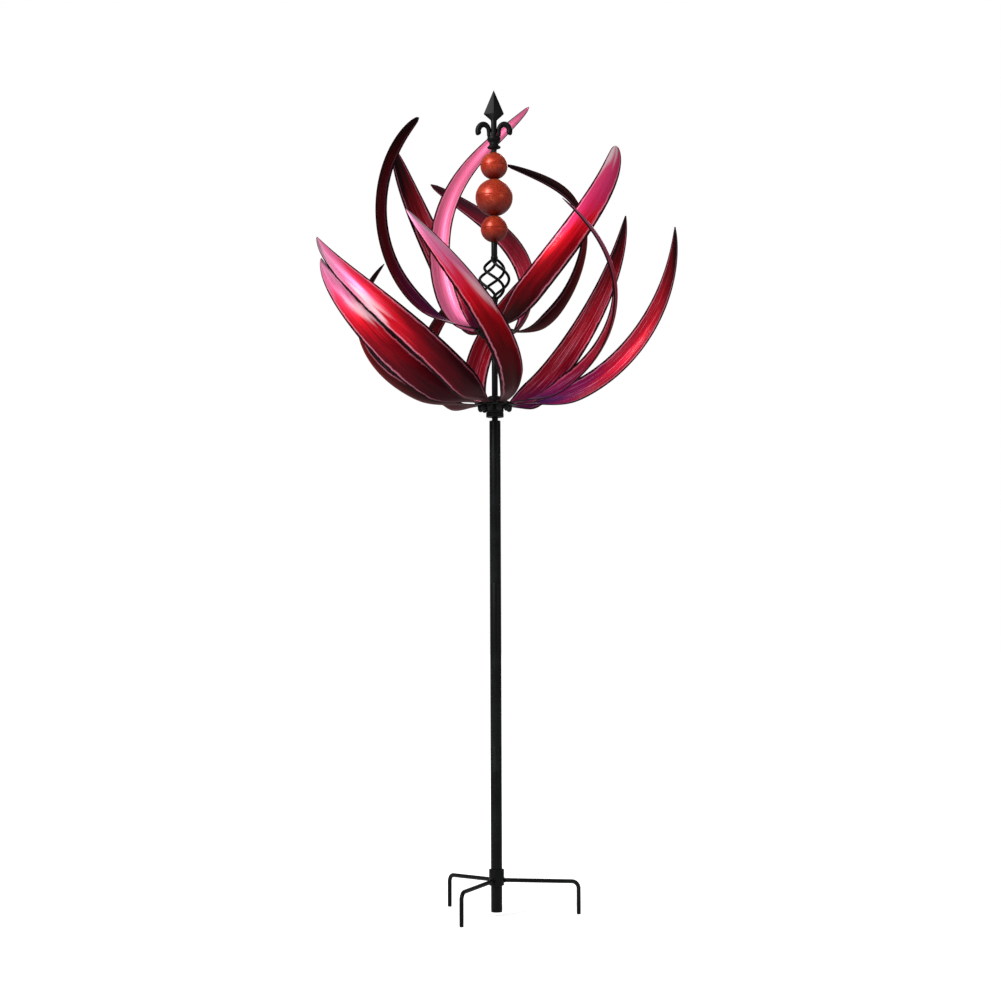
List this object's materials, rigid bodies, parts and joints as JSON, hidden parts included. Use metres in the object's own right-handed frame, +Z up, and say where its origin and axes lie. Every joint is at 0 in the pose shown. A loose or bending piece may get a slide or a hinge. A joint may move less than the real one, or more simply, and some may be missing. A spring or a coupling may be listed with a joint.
{
  "type": "kinetic wind sculpture",
  "caption": "Ground-stake wind sculpture: two counter-swept rotors of long pointed metal blades spin freely on one spindle under a twisted basket, stacked balls and a spear finial.",
  "frame": {"origin": "on the pole's axis, level with the tips of the three fork legs", "axes": "+Z up along the pole, +X towards the right-hand leg as seen from the front, the front faces -Y"},
  "size_m": [0.6086, 0.5886, 1.4052],
  "materials": {
    "black_powder_coat": "satin",
    "painted_blade": "gloss",
    "copper_ball": "gloss",
    "cast_iron_finial": "satin",
    "black_fastener": "satin",
    "bearing_steel": "polished",
    "bare_steel": "satin",
    "brass_cage": "satin"
  },
  "bodies": {
    "stand": {"fork_collar": "black_powder_coat", "fork_leg_1": "black_powder_coat", "fork_leg_2": "black_powder_coat", "fork_leg_3": "black_powder_coat", "pole_lower": "black_powder_coat", "pole_middle": "black_powder_coat", "pole_upper": "black_powder_coat", "pole_joint_sleeves": "bare_steel", "pole_plug": "bare_steel", "spindle": "bare_steel", "neck_spacer": "black_powder_coat", "middle_spacer": "black_powder_coat", "upper_spacer": "black_powder_coat", "lower_bearing_inner_ring": "bearing_steel", "upper_bearing_inner_ring": "bearing_steel", "basket_lower_ferrule": "black_powder_coat", "basket_wires": "black_powder_coat", "basket_upper_ferrule": "black_powder_coat", "top_rod": "black_powder_coat", "bottom_ball_lower_half": "copper_ball", "bottom_ball_upper_half": "copper_ball", "middle_ball_lower_half": "copper_ball", "middle_ball_upper_half": "copper_ball", "top_ball_lower_half": "copper_ball", "top_ball_upper_half": "copper_ball", "finial_base": "cast_iron_finial", "finial_spear": "cast_iron_finial", "finial_scrolls": "cast_iron_finial"},
    "lower_rotor": {"lower_bearing_outer_ring": "bearing_steel", "lower_hub_housing": "black_powder_coat", "lower_hub_plate": "black_powder_coat", "lower_hub_dust_cap": "black_powder_coat", "lower_blade_bolts": "black_fastener", "lower_blade_cap_nuts": "black_fastener", "lower_blade_1": "painted_blade", "lower_blade_2": "painted_blade", "lower_blade_3": "painted_blade", "lower_blade_4": "painted_blade", "lower_blade_5": "painted_blade", "lower_blade_6": "painted_blade", "lower_blade_7": "painted_blade", "lower_blade_8": "painted_blade", "lower_blade_9": "painted_blade"},
    "upper_rotor": {"upper_bearing_outer_ring": "bearing_steel", "upper_hub_housing": "black_powder_coat", "upper_hub_plate": "black_powder_coat", "upper_hub_dust_cap": "black_powder_coat", "upper_blade_bolts": "black_fastener", "upper_blade_cap_nuts": "black_fastener", "upper_blade_1": "painted_blade", "upper_blade_2": "painted_blade", "upper_blade_3": "painted_blade", "upper_blade_4": "painted_blade", "upper_blade_5": "painted_blade", "upper_blade_6": "painted_blade"},
    "lower_ball_cage": {"lower_bearing_cage": "brass_cage", "lower_bearing_balls": "bearing_steel"},
    "upper_ball_cage": {"upper_bearing_cage": "brass_cage", "upper_bearing_balls": "bearing_steel"}
  },
  "joints": [
    {"name": "lower_rotor_spin", "type": "hinge", "parent": "stand", "child": "lower_rotor", "pos_m": [0, 0, 0.8445], "axis": [0, 0, 1], "continuous": true},
    {"name": "upper_rotor_spin", "type": "hinge", "parent": "stand", "child": "upper_rotor", "pos_m": [0, 0, 0.9715], "axis": [0, 0, 1], "continuous": true},
    {"name": "lower_cage_spin", "type": "hinge", "parent": "stand", "child": "lower_ball_cage", "pos_m": [0, 0, 0.8445], "axis": [0, 0, 1], "continuous": true},
    {"name": "upper_cage_spin", "type": "hinge", "parent": "stand", "child": "upper_ball_cage", "pos_m": [0, 0, 0.9715], "axis": [0, 0, 1], "continuous": true}
  ],
  "couplings": [
    {"joint": "lower_cage_spin", "follows": "lower_rotor_spin", "ratio": 0.63333},
    {"joint": "upper_cage_spin", "follows": "upper_rotor_spin", "ratio": 0.63333}
  ]
}
